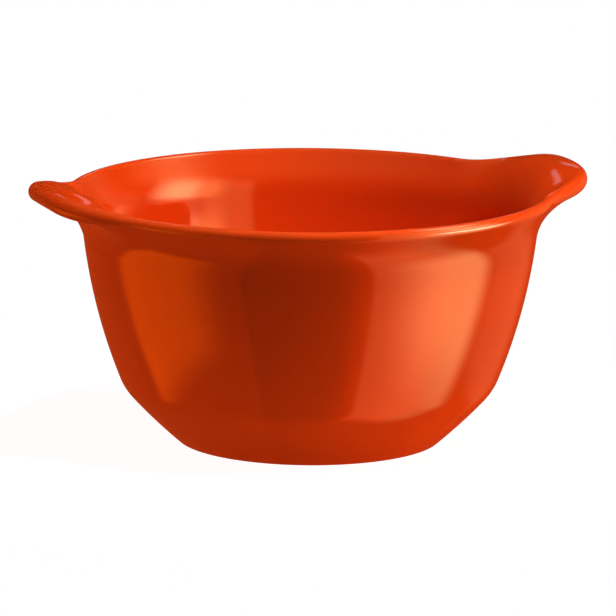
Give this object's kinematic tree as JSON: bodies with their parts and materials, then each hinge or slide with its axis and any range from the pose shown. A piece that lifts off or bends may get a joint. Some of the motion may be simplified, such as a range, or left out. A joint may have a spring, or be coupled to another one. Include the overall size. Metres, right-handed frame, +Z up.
{
  "type": "soup bowl",
  "caption": "Deep glazed stoneware soup bowl with a flared rim that swells into a level lug handle on each side, a sloping heel and a small ring foot.",
  "frame": {"origin": "middle of the foot on the table", "axes": "+X towards the right lug, -Y towards the front, +Z up"},
  "size_m": [0.1706, 0.146, 0.0809],
  "materials": {
    "stoneware": "bare fired clay",
    "orange_glaze": "high gloss"
  },
  "bodies": {
    "root": {"bowl_body": "stoneware", "left_lug": "stoneware", "right_lug": "stoneware", "foot_ring": "stoneware", "glaze_coat": "orange_glaze", "base_glaze": "orange_glaze"}
  },
  "joints": []
}
